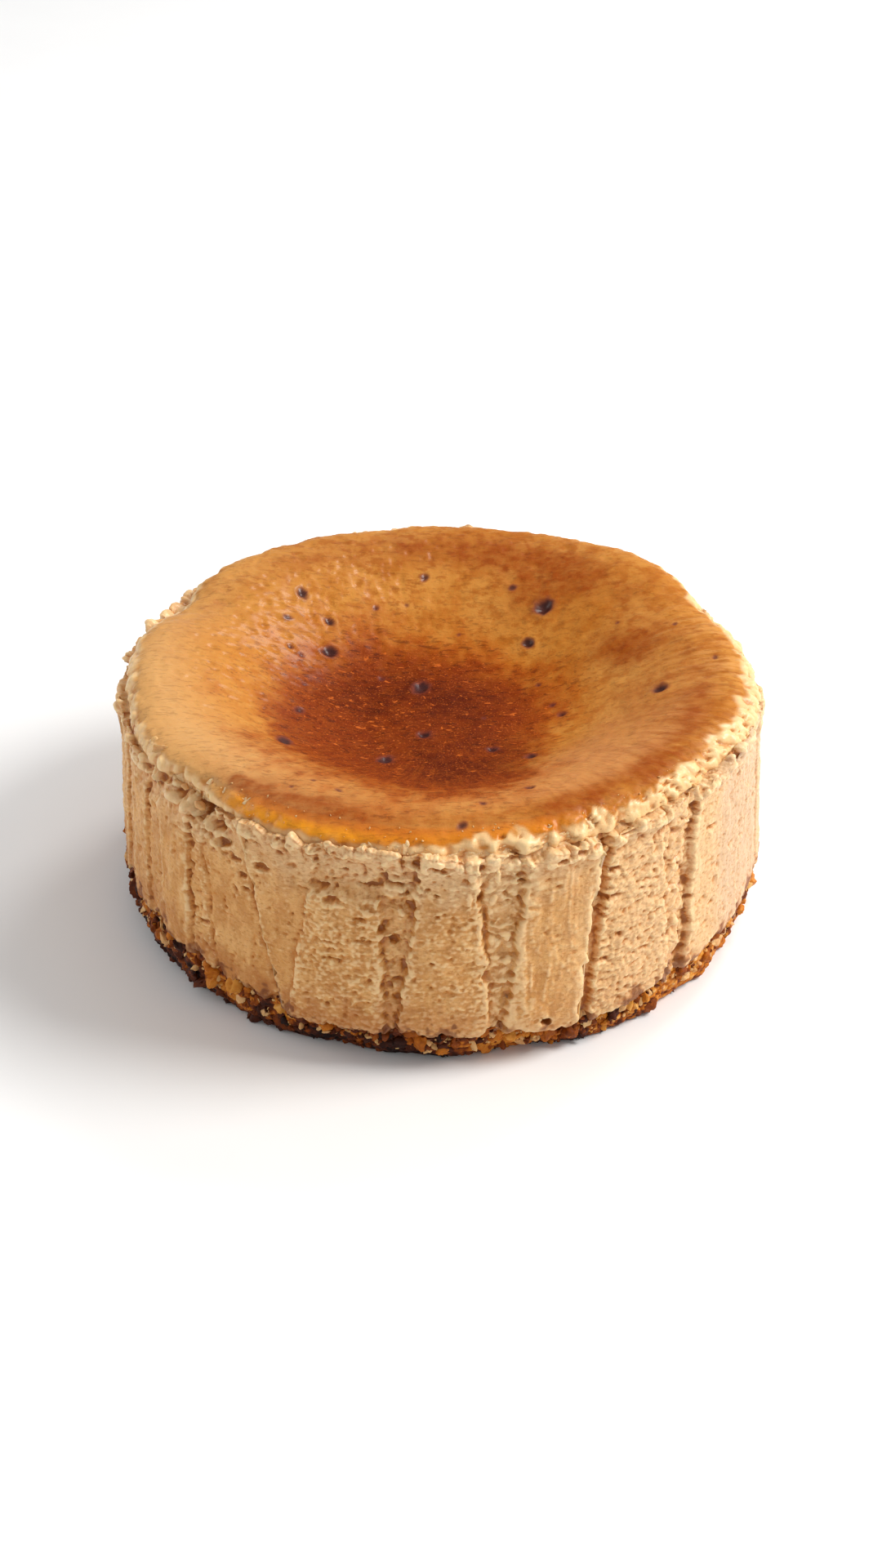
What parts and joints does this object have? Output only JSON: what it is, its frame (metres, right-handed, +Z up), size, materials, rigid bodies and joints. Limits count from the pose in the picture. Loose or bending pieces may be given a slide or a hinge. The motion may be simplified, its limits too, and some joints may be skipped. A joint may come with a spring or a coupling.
{
  "type": "coffee cheesecake",
  "caption": "Whole round coffee cheesecake with a sunken browned top, rolled rim, pleated side and thin biscuit base.",
  "frame": {"origin": "middle of the flat underside", "axes": "+Z up out of the top; the front of the cake, as pictured, faces -Y"},
  "size_m": [0.1523, 0.1541, 0.0612],
  "materials": {
    "baked_cream": "baked coffee cream, satin browned skin on top and matte torn side",
    "biscuit_crumb": "baked biscuit crumbs, golden to scorched, slightly buttery"
  },
  "bodies": {
    "root": {"cheesecake": "baked_cream", "biscuit_base": "biscuit_crumb"}
  },
  "joints": []
}
